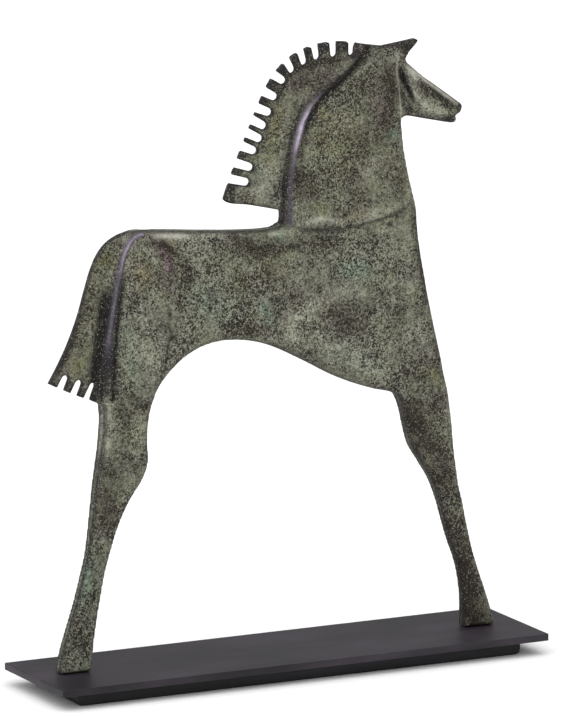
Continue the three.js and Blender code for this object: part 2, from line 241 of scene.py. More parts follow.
def sawn_edge(edge, cuts, mouth, end, side):
    """Edge with round-ended cuts in it, each narrowing from `mouth` at the edge to `end` at its round end.

    A cut is (distance along the edge, depth, lean in degrees from square). Its end is a half circle round
    the point that lies depth - end / 2 along the cut. `side` is -1 where the metal lies to the right of
    the edge and 1 where it lies to its left.
    """
    step = np.diff(edge, axis=0)
    reach = np.concatenate([[0], np.cumsum(np.linalg.norm(step, axis=1))])
    half_turn = np.linspace(0, np.pi, TOOTH_END_STEPS)[:, None]
    outline = []
    start = 0.0

    def place_at(distance):
        """Point of the edge at a distance along it."""
        return np.array([np.interp(distance, reach, edge[:, axis]) for axis in (0, 1)])

    for along, depth, lean in cuts:
        direction = step[np.searchsorted(reach, along) - 1]
        turn = math.atan2(direction[1], direction[0]) + side * math.pi / 2 + math.radians(lean)
        into = np.array([math.cos(turn), math.sin(turn)])
        across = side * np.array([into[1], -into[0]])
        centre = place_at(along) + into * (depth - end / 2)
        whole = edge[(reach > start) & (reach < along - mouth / 2)]
        outline += [place_at(start)[None], whole, place_at(along - mouth / 2)[None]]
        outline.append(centre - across * np.cos(half_turn) * end / 2 + into * np.sin(half_turn) * end / 2)
        start = along + mouth / 2
    return np.vstack([*outline, place_at(start)[None], edge[reach > start]])


back_line = smooth_line([
    (2.9, 391), (2.4, 385.5), (-2, 381.4), (-12, 379.8), (-42, 380.9), (-65, 382.8), (-85, 384.7),
    (-108, 387), (-126, 388.6), (-137, 388.7), (-149, 386.4), (-160, 380.5), (-168.5, 371), (-174.2, 359.5),
    (-180, 342), (-186.6, 320.5), (-195.6, 298.5), (-205, 280.5), (-213.6, 266.2),
])
tail_end = smooth_line([(-213.6, 266.2), (-200, 259.5), (-186, 253.2), (-169, 246), (-166, 244.4)])
TAIL_CUTS = [(11.8, 12.5, 0), (25.3, 13, -2), (38.5, 15, -4)]
tail_hem = sawn_edge(tail_end, TAIL_CUTS, mouth=8, end=7, side=1)
hind_rear = smooth_line([
    (-164.9, 242.5), (-164.5, 228), (-166.6, 208), (-169.5, 190), (-171.6, 176), (-174, 157), (-176.3, 138),
    (-179.5, 117), (-184.2, 98), (-189.8, 78), (-196.4, 58), (-202.4, 39), (-206.2, 20.6), (-205.2, HOOF_Z),
])
hind_front = smooth_line([
    (-178.6, HOOF_Z), (-177.4, 20.6), (-174.8, 42), (-171.8, 62), (-168, 82), (-164, 102), (-158.5, 121),
    (-151, 142), (-141, 162), (-129.8, 178), (-124.6, 192), (-125.4, 212), (-124.2, 230), (-120.5, 244),
    (-113.5, 257), (-98, 273.5), (-80, 284), (-62, 288.6), (-42, 288.6), (-20, 284.3), (0, 276.2),
    (25, 263.3), (55, 247), (85, 235.5), (103, 230.6), (110, 227), (114.5, 219),
])
fore_rear = smooth_line([
    (114.5, 219), (116.6, 212), (119.4, 199), (124.5, 181), (133.5, 166.5), (143.5, 150), (150, 134),
    (155.4, 116), (161, 97), (168, 78), (172.6, 58), (174.4, 38), (174.4, 20.6), (175.4, HOOF_Z),
])
fore_front = smooth_line([
    (202.2, HOOF_Z), (203.3, 20.6), (200, 34), (194.5, 51), (187.8, 70), (181.8, 89), (177, 109),
    (172.6, 129), (168.6, 145), (165.8, 162), (163.5, 178), (161.5, 196), (159.5, 211), (157, 226),
    (153.5, 240), (149, 260), (143.5, 283), (137.9, 308), (132.8, 335), (128.6, 360), (127.2, 376),
    (126.2, 388), (122.8, 402), (118.7, 420), (115.4, 438), (113.8, 452), (113.2, 459), (114.2, 463.4),
    (118, 465.2), (125, 464.2), (134, 462), (146, 459.3), (156, 457), (162.4, 455.9), (165.4, 456.3),
    (166.6, 458.6), (165.6, 461.2),
])
mouth_corner = [(164.2, 461)]
bridge = smooth_line([
    (167.4, 462.4), (170.4, 464.2), (171.9, 467.4), (171.6, 470.4), (167, 474.2), (157, 481.5),
    (145, 490.3), (133, 498.8), (124, 506.5), (118.6, 511.6), (118.2, 515), (120.5, 518.2), (125, 522.6),
    (128.9, 526.4), (130, 528.4), (128.6, 529.7), (119.5, 528.7), (108, 527.2), (97, 526),
])
mane_rim = smooth_line([
    (-51.5, 408), (-45.5, 424), (-37.5, 443), (-29, 462), (-20, 482), (-11, 500), (0, 514.5), (14, 525),
    (30, 531), (48, 533.2), (64, 532.3), (80, 529), (97, 526),
])
MANE_CUTS = [
    (18, 18.7, 7), (32, 17.2, 4), (47, 14.7, 1), (58.9, 15.5, -3), (70.5, 14.7, -5), (81.3, 14.5, 2),
    (96, 13.7, 0), (112.2, 13, 5), (128.5, 12.3, -6), (143.4, 12.8, -4), (157, 12.8, 0), (174.3, 13, 3),
    (192.3, 11.5, 8),
]
mane_edge = sawn_edge(mane_rim, MANE_CUTS, mouth=7.8, end=6.7, side=-1)[::-1]
mane_underside = smooth_line([
    (-51.5, 408), (-48, 405.2), (-30, 402), (-14, 398.3), (-4, 395.8), (1, 394.2), (2.9, 391),
])
outline = np.vstack([
    back_line[:-1], tail_hem[:-1], hind_rear, hind_front[:-1], fore_rear, fore_front, mouth_corner,
    bridge[:-1], mane_edge[:-1], mane_underside[:-1],
])

# The relief is built up of few forms: the haunch and the neck stand proud of the barrel, a bead runs down
# the crest and down the tail's root, and the head is cut in facets on both sides of the cheek's ridge.
TILE = 16.0
TILE_CORNER = 0.71 * TILE
REACH = 14.0
FAR = 1000.0
TOO_SHORT = 1e-6
LINE_STEPS = 5


def nearest_on(line, points, closed=False, reach=FAR):
    """For each point: distance to a line, the nearest place on it, its side and its share of the line.

    The nearest place on each straight piece is the point's foot on it, held to the piece's ends, and the
    nearest of all is kept. Side is 1 to the left of the line and -1 to its right. The plane is taken in
    square tiles, each with only the pieces within reach of it, and points out of reach keep `reach`.
    """
    a = line
    b = np.roll(line, -1, axis=0) if closed else line[1:]
    a = a[: len(b)]
    size = np.linalg.norm(b - a, axis=1)
    a, b, size = a[size > TOO_SHORT], b[size > TOO_SHORT], size[size > TOO_SHORT]
    start = np.concatenate([[0], np.cumsum(size)])
    gap = np.full(len(points), float(reach))
    place = np.array(points, float)
    side = np.ones(len(points))
    share = np.zeros(len(points))
    keys, member = np.unique(np.floor(points / TILE).astype(int), axis=0, return_inverse=True)
    member = member.ravel()
    groups = np.split(np.argsort(member, kind="stable"), np.cumsum(np.bincount(member))[:-1])
    for key, group in zip(keys, groups):
        away = np.linalg.norm((a + b) / 2 - (key + 0.5) * TILE, axis=1) - size / 2
        use = np.flatnonzero(away < TILE_CORNER + reach)
        if len(use) == 0:
            continue
        p = points[group][:, None, :]
        along = (b - a)[use][None]
        t = np.clip(((p - a[use][None]) * along).sum(2) / (size[use] ** 2)[None], 0, 1)
        foot_of = a[use][None] + along * t[:, :, None]
        length = np.linalg.norm(p - foot_of, axis=2)
        best = length.argmin(1)
        row = np.flatnonzero(length.min(1) < gap[group])
        pick, best = group[row], best[row]
        gap[pick] = length[row, best]
        place[pick] = foot_of[row, best]
        offset = points[pick] - a[use][best]
        piece = (b - a)[use][best]
        side[pick] = np.where(piece[:, 0] * offset[:, 1] - piece[:, 1] * offset[:, 0] >= 0, 1.0, -1.0)
        share[pick] = (start[use][best] + size[use][best] * t[row, best]) / start[-1]
    return gap, place, side, share


def left_of(line, points):
    """Signed distance of points from a line, positive on its left, and their share of its length."""
    away, _, side, share = nearest_on(line, points)
    return away * side, share


def ease(value, start, full):
    """Smooth step from 0 at `start` to 1 at `full`, whichever is larger: 3 s^2 - 2 s^3 of the share s."""
    s = np.clip((value - start) / (full - start), 0, 1)
    return s * s * (3 - 2 * s)


def bump(value, centre, width):
    """Bell of height 1 at the centre, exp(-((value - centre) / width)^2)."""
    return np.exp(-(((value - centre) / width) ** 2))


def band(across, height, strength, centre, width, start, full):
    """Bell across a line, of a strength, that starts at one height and is full at another."""
    return strength * bump(across, centre, width) * ease(height, start, full)


def soft_max(a, b, blend):
    """Larger of two fields, with a rounded join that is `blend` wide."""
    h = np.clip(0.5 + 0.5 * (a - b) / blend, 0, 1)
    return b + (a - b) * h + blend * h * (1 - h)


haunch_edge = smooth_line([
    (-134, 387.5), (-126.3, 383.4), (-114.3, 377.3), (-107, 367.3), (-104, 355.2), (-103.1, 338.2),
    (-104.3, 321.4), (-107, 304.7), (-109.9, 288), (-114.6, 274), (-121, 258.5), (-126, 247), (-128, 240),
], LINE_STEPS)
shoulder_edge = smooth_line([
    (26, 384), (14, 350), (12, 325), (18, 300), (32, 276), (58, 256), (88, 240), (108, 226),
], LINE_STEPS)
neck_base = smooth_line([
    (-14, 387), (2, 382.5), (11.2, 379), (17.5, 376.8), (26.9, 375.2), (41.9, 374.4), (52.7, 375.2),
    (67.3, 376.5), (86.2, 379.5), (105.7, 384.4), (114, 387.8), (119, 393), (120.5, 400),
], LINE_STEPS)
crest = smooth_line([
    (3.9, 374), (3.4, 384), (3.2, 400), (4.6, 418), (7.4, 436), (11.2, 453), (16.3, 469), (23, 481.5),
    (31, 490.5), (41.5, 499.6), (50, 506), (57.5, 512), (64, 518.2), (69.5, 524.4), (75, 531.5),
], LINE_STEPS)
tail_root = smooth_line([
    (-130, 387), (-137.5, 385.6), (-144, 381), (-149.3, 372.5), (-153.2, 359.5), (-157, 344.5),
    (-159.8, 329.5), (-162, 314), (-163.8, 298), (-165.6, 282), (-167.2, 266), (-168.3, 252), (-168.8, 240),
], LINE_STEPS)
neck_front = smooth_line([
    (106.8, 530), (106.8, 523), (106.4, 513), (107.3, 506), (108.8, 497.5), (109.7, 488.9), (110.2, 480.4),
    (110.7, 470), (112, 462), (113, 455),
], LINE_STEPS)
cheek = smooth_line([
    (113.4, 512.6), (115.3, 504.8), (117.2, 498.7), (120.1, 490.8), (122.9, 482.9), (126.3, 476.7),
    (132, 471.5), (138.6, 468), (146.7, 465.2), (158, 462.8), (166, 461.6),
], LINE_STEPS)
ear_base = smooth_line([(86, 526.5), (97, 524.7), (109.1, 524.9), (116.9, 522.4), (121, 517)], LINE_STEPS)

# Half thicknesses: the barrel's by its length, and the others by their height.
barrel = np.array([
    (-150, 11), (-124, 11.4), (-98, 12.4), (-20, 12.6), (0, 12.9), (85, 12.9), (108, 12.5), (122, 12),
]).T
hind_limb = np.array([
    (18.8, 7.8), (39, 7.3), (58, 7), (78, 7), (98, 7.3), (117, 7.7), (138, 8.2), (157, 8.8), (176, 9.5),
    (190, 10), (208, 11), (228, 12), (247, 13), (270, 14.4), (300, 15), (330, 15), (355, 14.6), (384, 12.4),
]).T
fore_limb = np.array([
    (18.8, 7.8), (36, 7.6), (54, 7.2), (74, 7.2), (93, 7.5), (112, 8), (131, 8.5), (147, 9), (164, 9.5),
    (180, 10), (197, 10.8), (212, 11.5), (240, 13), (258, 13.8), (304, 14.2), (330, 13.8), (376, 12.4),
]).T

# A pair is where a step starts and where it is full: along X or Z where its name says so, or else in from the
# form's edge line. Five numbers are a band: its strength, the middle and half width of its bell across the
# line, and the heights where it starts and is full.
SHOULDER_IN = (-16, 20)
FORE_LEG_X = 108
FORE_LEG_Z = (260, 230)
HAUNCH_IN = (-2.5, 3)
HIGH_HAUNCH_Z = (290, 350)
HIND_LEG_X = -60
HIND_LEG_Z = 250
HIP_HOLLOW = (1, -5.5, 4.2, 262, 290)
HIP_HOLLOW_X = (-138, -126)
HIP_HOLLOW_DEPTH = 0.5
HIP_HOLLOW_DEEPER = 1.3
HAUNCH_ROLL = (0.45, 3.6, 2.4, *HIGH_HAUNCH_Z)
THIGH_DISH_DEPTH = 1.1
THIGH_DISH_IN = (4, 22)
THIGH_DISH_Z = (250, 290)
THIGH_DISH_TOP_Z = (380, 300)


def body(points):
    """Barrel, shoulder, haunch and legs, with the hollow that is cut in front of the haunch.

    Starts from the barrel's half thickness, and passes to each limb's own over the distance in which the
    limb's edge line is crossed.
    """
    x, z = points.T
    table = np.interp(x, *barrel)
    inside = ease(left_of(shoulder_edge, points)[0], *SHOULDER_IN)
    inside = np.where(x > FORE_LEG_X, np.maximum(inside, ease(z, *FORE_LEG_Z)), inside)
    table = table + (np.interp(z, *fore_limb) - table) * inside
    haunch = -left_of(haunch_edge, points)[0]
    depth = HIP_HOLLOW_DEPTH + HIP_HOLLOW_DEEPER * ease(z, *HIGH_HAUNCH_Z)
    table = table - depth * band(haunch, z, *HIP_HOLLOW) * ease(x, *HIP_HOLLOW_X)
    rise = np.where((z < HIND_LEG_Z) & (x < HIND_LEG_X), 1, ease(haunch, *HAUNCH_IN))
    table = table + (np.interp(z, *hind_limb) - table) * rise
    dish = ease(haunch, *THIGH_DISH_IN) * ease(z, *THIGH_DISH_Z) * ease(z, *THIGH_DISH_TOP_Z)
    return table + band(haunch, z, *HAUNCH_ROLL) - THIGH_DISH_DEPTH * dish


neck = np.array([
    (372, 12), (388, 11.4), (400, 10.4), (415, 9.8), (432, 9.4), (463, 9.1), (491, 9), (503, 8.7),
    (514, 8.2), (524, 7.4),
]).T
ledge_height = np.array([(2, 1), (16, 3.2), (46, 3.2), (54, 1.7), (120, 1.2)]).T
ledge_width = np.array([(5, 2), (14, 4.5), (27, 6.9), (40, 7), (49, 4.4), (54, 2.4), (120, 1.8)]).T
NECK_X = -14
NECK_Z = 366
LIP_HEIGHT = 0.6
LEDGE_FADE = 9
LEDGE_OVERHANG = 0.25
THROAT_DEPTH = 0.8
THROAT_X = (92, 108)
THROAT_Z = (450, 470)
SHOULDER_DIP = 1.2
SHOULDER_DIP_X = (6, 20)
# Where the painted shade under the ledge runs along X, and its bell across the ledge's line.
UNDER_X = (8, 20)
UNDER_END_X = (124, 112)
UNDER_MIDDLE = 0.32
UNDER_SPREAD = 0.42
UNDER_LEAST = 0.3


def neck_ledge(points, table):
    """Neck laid over the shoulder like a flap, its lower edge an undercut ledge with painted shade beneath.
    """
    x, z = points.T
    above = left_of(neck_base, points)[0]
    wide = np.interp(x, *ledge_width)
    lip = (LIP_HEIGHT + np.interp(x, *ledge_height)) * np.exp(-np.maximum(above - wide, 0) / LEDGE_FADE)
    thick = np.interp(z, *neck) + lip - THROAT_DEPTH * ease(x, *THROAT_X) * ease(z, *THROAT_Z)
    dip = SHOULDER_DIP * np.exp(-np.maximum(-above, 0) / LEDGE_FADE) * ease(x, *SHOULDER_DIP_X)
    shoulder = table - dip
    on_neck = (z > NECK_Z) & (x > NECK_X)
    rise = ease(above, -LEDGE_OVERHANG * wide, wide)
    table = np.where(on_neck, shoulder + (thick - shoulder) * rise, table)
    # Painted shade in a band just below the ledge.
    shade = bump(above, UNDER_MIDDLE * wide, UNDER_SPREAD * wide + UNDER_LEAST)
    painted_ledge_shadow = np.where(on_neck & (x > UNDER_X[0]), shade, 0) * ease(x, *UNDER_X) * ease(x, *UNDER_END_X)
    return table, {"painted_ledge_shadow": painted_ledge_shadow}, above


# The sheets are thin, and a bead's join to what lies beside it is rounded. Where hands rub a bead, it is dull
# metal along its whole length (roll), and in places bright metal with a painted highlight, placed by height.
SHEET = 2.9
BEAD_JOIN = 0.9
SHEET_JOIN = 0.6
CREST_FRONT = 14
CREST_Z = 388
CREST_X = -2
CREST_MIDDLE = -2.4
CREST_RISE = 0.5
CREST_CURVE = 0.42
CREST_VALLEY = (2.3, -7.4, 3, 455, 482)
MANE_IN = (-4.5, -1)
MANE_FROM = 3
# Bands of painted shade: in the valley in front of the crest's bead, and in the corner where the bead meets
# the mane.
CREST_HOLLOW = (1, -7, 3.3, 446, 470)
MANE_HOLLOW = (0.8, 1.4, 1.6, 500, 470)
# Dull metal along the crest's bead, and bright metal with a painted highlight, placed by height.
CREST_ROLL_AT = (-2.2, 2.2)
CREST_SHINE_AT = (-2.4, 1.5)
crest_roll = np.array([(470, 1), (492, 0.45), (512, 0.15)]).T
crest_shine = np.array([
    (374, 0.06), (425, 0.08), (442, 0.25), (452, 0.8), (464, 1), (474, 0.8), (484, 0.25), (494, 0),
]).T


def crest_bead(points, table, above_ledge):
    """Bead along the crest, a parabola across its line, with the thin mane behind and a valley in front."""
    x, z = points.T
    behind = left_of(crest, points)[0]
    at_crest = (behind > -CREST_FRONT) & ((z > CREST_Z) | ((x > CREST_X) & (above_ledge > 0)))
    valley = table - band(behind, z, *CREST_VALLEY) - (table - SHEET) * ease(behind, *MANE_IN)
    bead = np.interp(z, *neck) + CREST_RISE - CREST_CURVE * (behind - CREST_MIDDLE) ** 2
    joined = soft_max(soft_max(valley, bead, BEAD_JOIN), SHEET, SHEET_JOIN)
    joined = np.where(behind > MANE_FROM, SHEET, joined)
    masks = {
        "roll": bump(behind, *CREST_ROLL_AT) * np.interp(z, *crest_roll),
        "bright_metal_and_painted_highlight": bump(behind, *CREST_SHINE_AT) * np.interp(z, *crest_shine),
        "painted_hollow_shade": band(behind, z, *CREST_HOLLOW) + band(behind, z, *MANE_HOLLOW),
    }
    return np.where(at_crest, joined, table), {name: mask * at_crest for name, mask in masks.items()}


tail_bead = np.array([
    (240, 8.6), (266, 9), (282, 11), (298, 12.6), (314, 14), (328, 15), (358, 15.6), (371, 15), (384, 13.4),
]).T
tail_width = np.array([
    (240, 6.6), (252, 6.4), (266, 5.8), (282, 5.1), (298, 4.5), (314, 4), (344, 3.4), (371, 2.8), (384, 2.2),
]).T
# Dull metal along the tail's bead, and bright metal with a painted highlight, placed by height.
tail_roll = np.array([(255, 0.1), (285, 0.3), (305, 0.85), (335, 1)]).T
tail_shine = np.array([
    (255, 0), (285, 0.03), (300, 0.14), (335, 0.2), (352, 0.15), (366, 0.4), (376, 0.7), (386, 0.4),
]).T
TAIL_X = -126
TAIL_Z = 248
TAIL_CURVE = (2.3, 1.2)
PARTING = (1.3, 0, 0.2, 300, 276)
GROOVE = (1.4, -2.6, 2.2, 370, 345)
TAIL_SHEET_IN = (-0.6, 0.3)
TAIL_SHEET_END = 2.2
TAIL_ROLL_IN = (1.15, 0.55)
TAIL_SHINE_AT = (0.1, 0.38)
# Bands of painted shade beside the tail's bead, on its front side and on the sheet's side, and in its
# parting.
TAIL_HOLLOW = (1, -1.8, 2.7, 362, 340)
SHEET_HOLLOW = (1, 0.8, 4.2, 356, 330)
PARTING_SHADE = (0.9, 0, 0.16, 300, 272)


def tail_sheet(points, table):
    """Bead down the tail's root, which parts in two strands low down, and the thin tail behind it.

    The bead falls with the second and the fourth power of the share of its half width. What lies on it is
    placed by that share too, and what lies beside it by its distance from the bead's edge.
    """
    x, z = points.T
    behind = -left_of(tail_root, points)[0]
    at_tail = (x < TAIL_X) & (z > TAIL_Z)
    width = np.interp(z, *tail_width)
    share = behind / width
    bead = np.interp(z, *tail_bead) - band(share, z, *PARTING)
    bead = bead - TAIL_CURVE[0] * share**2 - TAIL_CURVE[1] * share**4
    groove = table - band(behind + width, z, *GROOVE)
    valley = groove - (groove - SHEET) * ease(share, *TAIL_SHEET_IN)
    joined = soft_max(valley, bead, BEAD_JOIN)
    joined = SHEET + (joined - SHEET) * ease(behind - width, TAIL_SHEET_END, 0)
    beside = band(behind + width, z, *TAIL_HOLLOW) + band(behind - width, z, *SHEET_HOLLOW)
    masks = {
        "roll": ease(abs(share), *TAIL_ROLL_IN) * np.interp(z, *tail_roll),
        "bright_metal_and_painted_highlight": bump(share, *TAIL_SHINE_AT) * np.interp(z, *tail_shine),
        "painted_hollow_shade": beside + band(share, z, *PARTING_SHADE),
    }
    return np.where(at_tail, joined, table), {name: mask * at_tail for name, mask in masks.items()}


# The head's half thicknesses: at the ridge and the outline by the share of the cheek's line, and then the
# share of the difference that is left at each share of the way from the ridge to the outline.
jaw_ridge = np.array([(0, 7.2), (0.16, 10), (0.36, 11), (0.56, 11), (0.75, 10), (0.9, 8.4), (1, 6.2)]).T
face_edge = np.array([(0, 5.6), (0.3, 5), (0.6, 4.5), (1, 4.2)]).T
face_fall = np.array([(0, 1), (0.42, 0.76), (0.7, 0.34), (0.86, 0.3), (1, 0)]).T
jaw_edge = np.array([(0.3, 6.4), (0.6, 5.6), (1, 4.2)]).T
jaw_fall = np.array([(0, 1), (0.12, 0.62), (0.6, 0.2), (1, 0)]).T
recess_floor = np.array([(466, 7.2), (480, 5.2), (500, 4.4), (509, 7)]).T
poll = np.array([(508, 6.8), (516, 6.6), (526, 5.8)]).T
HEAD_X = 84
HEAD_Z = 452
TINY = 0.01
RECESS_WALL_IN = (3.4, 0)
RECESS_Z = (466, 473)
RECESS_ALONG = 0.62
POLL_Z = (507, 512)
NECK_BEAD = (0.7, -1.1, 1.2, 456, 470)
NECK_DIP = (0.7, -7, 4, 452, 470)
HEAD_IN = (-0.6, 1.6)
EAR_HALF = 4.8
EAR_TAPER = 1.8
EAR_TAPER_X = (110, 129)
EAR_IN = (-0.6, 1)
EAR_X = (84, 98)
CHEEK_HIGH_Z = (484, 500)
# Painted shade in the hollow behind the cheek's ridge: its bell's place and width, and where it runs.
CHEEK_HOLLOW_AT = 1.7
CHEEK_HOLLOW_BACK = 1.6
CHEEK_HOLLOW_WIDTH = 1.3
CHEEK_HOLLOW_WIDER = 1.3
CHEEK_HOLLOW_Z = (472, 482)
CHEEK_HOLLOW_TOP_Z = (510, 505)
CHEEK_HOLLOW_FROM = -1


def head_facets(points, table, gap):
    """Head cut in facets: the face in front of the cheek's ridge, and a recess and the jaw behind it.

    On each side the thickness falls from the ridge to the outline by the share of the way there. The painted
    shade in the hollow behind the ridge lies further back, and is wider, high up.
    """
    x, z = points.T
    front, along = left_of(cheek, points)
    beyond = left_of(neck_front, points)[0]
    ridge = np.interp(along, *jaw_ridge)
    edge_half = np.interp(along, *face_edge)
    face = edge_half + (ridge - edge_half) * np.interp(front / (front + gap + TINY), *face_fall)
    jaw_half = np.interp(along, *jaw_edge)
    jaw = jaw_half + (ridge - jaw_half) * np.interp(-front / (-front + gap + TINY), *jaw_fall)
    floor_half = np.interp(z, *recess_floor)
    recess = floor_half + (ridge - floor_half) * ease(-front, *RECESS_WALL_IN)
    behind_cheek = jaw + (recess - jaw) * ease(z, *RECESS_Z) * (along < RECESS_ALONG)
    head = np.where(front > 0, face, behind_cheek)
    head = head + (np.interp(z, *poll) - head) * ease(z, *POLL_Z)
    table = table + band(beyond, z, *NECK_BEAD) - band(beyond, z, *NECK_DIP)
    joined = table + (head - table) * ease(beyond, *HEAD_IN)
    ear_half = EAR_HALF - EAR_TAPER * ease(x, *EAR_TAPER_X)
    above_ear = left_of(ear_base, points)[0]
    joined = joined + (ear_half - joined) * ease(above_ear, *EAR_IN) * ease(x, *EAR_X)
    at_head = (z > HEAD_Z) & (x > HEAD_X)
    high = ease(z, *CHEEK_HIGH_Z)
    centre = -CHEEK_HOLLOW_AT - CHEEK_HOLLOW_BACK * high
    painted_hollow_shade = bump(front, centre, CHEEK_HOLLOW_WIDTH + CHEEK_HOLLOW_WIDER * high)
    painted_hollow_shade = painted_hollow_shade * ease(z, *CHEEK_HOLLOW_Z) * ease(z, *CHEEK_HOLLOW_TOP_Z) * (beyond > CHEEK_HOLLOW_FROM)
    return np.where(at_head, joined, table), {"painted_hollow_shade": painted_hollow_shade * at_head}


# Shallow waves of the cast surface, as (length, heading in degrees, height), the ripple along the belly's
# edge, and the rim, whose radius is a share of the half thickness: less on a sheet, more on a thick form.
WAVES = [(37, 20, 0.2), (23, 75, 0.15), (29, 130, 0.15), (13, 50, 0.05), (11, 110, 0.05)]
WAVES_ON = (3.2, 8)
BELLY_X = (-10, 96)
BELLY_Z = 300
RIPPLE_HEIGHT = 0.35
RIPPLE_BAND = (7, 6)
RIPPLE_LENGTH = 3.6
SHEET_RIM = 0.3
THICK_RIM = 0.32
THICK_FROM = (3.5, 8)


def relief(points, gap):
    """Half depth of the casting at points of the plane, and masks of metal, painted highlights and shade."""
    x, z = points.T
    masks = {name: np.zeros(len(points)) for name in ("roll", "bright_metal_and_painted_highlight", "painted_hollow_shade", "painted_ledge_shadow")}
    table, ledge_masks, above_ledge = neck_ledge(points, body(points))
    table, crest_masks = crest_bead(points, table, above_ledge)
    table, tail_masks = tail_sheet(points, table)
    table, head_masks = head_facets(points, table, gap)
    for found in (ledge_masks, crest_masks, tail_masks, head_masks):
        for name, mask in found.items():
            masks[name] = np.maximum(masks[name], mask)
    for length, heading, height in WAVES:
        turn = math.radians(heading)
        phase = (x * math.cos(turn) + z * math.sin(turn)) * 2 * np.pi / length
        table = table + height * np.sin(phase + heading) * ease(table, *WAVES_ON)
    belly = (z < BELLY_Z) & (x > BELLY_X[0]) & (x < BELLY_X[1])
    ripple = bump(gap, *RIPPLE_BAND) * np.cos(gap * 2 * np.pi / RIPPLE_LENGTH)
    table = table - RIPPLE_HEIGHT * belly * ripple
    rim = (SHEET_RIM + THICK_RIM * ease(table, *THICK_FROM)) * table
    inner = np.minimum(gap, rim)
    return table - rim + np.sqrt(np.maximum(rim**2 - (rim - inner) ** 2, 0)), table, masks


# Square cells of the XZ plane, each split in two, are cut at the outline. Both faces take their depth from
# the relief, so the mesh is one closed skin with a wall along the outline.
PITCH = 1.3
SNAP = 0.3
ROW_OFFSET = 0.37


def inside_grid(xs, zs):
    """Grid of True where a point lies inside the outline, from the count of crossings to its left."""
    a, b = outline, np.roll(outline, -1, axis=0)
    inside = np.zeros((len(zs), len(xs)), bool)
    for row, level in enumerate(zs):
        cuts = (a[:, 1] > level) != (b[:, 1] > level)
        share = (level - a[cuts, 1]) / (b[cuts, 1] - a[cuts, 1])
        crossing = np.sort(a[cuts, 0] + share * (b[cuts, 0] - a[cuts, 0]))
        inside[row] = np.searchsorted(crossing, xs) % 2 == 1
    return inside


def plane_inside():
    """Points and triangles of the plane inside the outline, and which points lie on the outline.

    Grid points close to the outline move onto it. Of the triangles that cross it, the inner part is kept,
    cut at the place where the signed distance is zero along each crossing edge.
    """
    low, high = outline.min(0) - 3 * PITCH, outline.max(0) + 3 * PITCH
    xs = np.arange(low[0], high[0], PITCH)
    zs = np.arange(low[1] + ROW_OFFSET, high[1], PITCH)
    grid = np.stack(np.meshgrid(xs, zs), -1).reshape(-1, 2)
    gap, place, _, _ = nearest_on(outline, grid, closed=True, reach=REACH)
    sign = np.where(inside_grid(xs, zs).ravel(), 1, -1)
    close = gap < SNAP * PITCH
    grid[close] = place[close]
    sign[close] = 0

    columns = len(xs)
    corner = (np.arange(len(zs) - 1)[:, None] * columns + np.arange(columns - 1)).ravel()
    right, up, across = corner + 1, corner + columns, corner + columns + 1
    even = ((corner // columns + corner % columns) % 2 == 0)[:, None]
    first = np.where(even, np.stack([corner, right, across], 1), np.stack([corner, right, up], 1))
    second = np.where(even, np.stack([corner, across, up], 1), np.stack([right, across, up], 1))
    triangles = np.vstack([first, second])
    triangles = triangles[(sign[triangles] > 0).any(1)]
    outside = (sign[triangles] < 0).sum(1)
    pieces = [triangles[outside == 0]]

    # Each triangle that the outline cuts is turned so that its one outer, or else one inner, corner is first.
    mixed = triangles[outside > 0]
    one_out = outside[outside > 0] == 1
    turn = np.where(one_out, (sign[mixed] < 0).argmax(1), (sign[mixed] > 0).argmax(1))
    mixed = np.take_along_axis(mixed, (turn[:, None] + np.arange(3)) % 3, 1)
    signs = sign[mixed]
    both_in = one_out & (signs[:, 1] > 0) & (signs[:, 2] > 0)
    next_in = one_out & ~both_in & (signs[:, 1] > 0)
    last_in = one_out & ~both_in & (signs[:, 2] > 0)
    only_in = ~one_out & (signs[:, 1] < 0) & (signs[:, 2] < 0)
    crossing = []

    def cut(inner, outer):
        """Numbers of the new points on the edges from inner to outer points."""
        number = len(grid) + sum(len(edge) for edge in crossing) + np.arange(len(inner))
        crossing.append(np.stack([inner, outer], 1))
        return number

    o, p, q = mixed[both_in].T
    by_p, by_q = cut(p, o), cut(q, o)
    pieces += [np.stack([by_p, p, q], 1), np.stack([by_p, q, by_q], 1)]
    o, p, q = mixed[next_in].T
    pieces.append(np.stack([cut(p, o), p, q], 1))
    o, p, q = mixed[last_in].T
    pieces.append(np.stack([cut(q, o), p, q], 1))
    p, o, n = mixed[only_in].T
    pieces.append(np.stack([p, cut(p, o), cut(p, n)], 1))

    # The same edge cut from both of its triangles gives one point.
    edges = np.vstack(crossing)
    share = gap[edges[:, 0]] / (gap[edges[:, 0]] + gap[edges[:, 1]])
    new = grid[edges[:, 0]] + (grid[edges[:, 1]] - grid[edges[:, 0]]) * share[:, None]
    new = nearest_on(outline, new, closed=True, reach=REACH)[1]
    names = np.vstack([np.arange(len(grid))[:, None].repeat(2, 1), edges])
    _, keep, merged = np.unique(names, axis=0, return_index=True, return_inverse=True)
    faces = merged.ravel()[np.vstack(pieces)]
    whole = (faces[:, 0] != faces[:, 1]) & (faces[:, 1] != faces[:, 2]) & (faces[:, 2] != faces[:, 0])
    used, faces = np.unique(faces[whole], return_inverse=True)
    on_line = np.concatenate([sign == 0, np.ones(len(new), bool)])[keep][used]
    return np.vstack([grid, new])[keep][used], faces.reshape(-1, 3), on_line


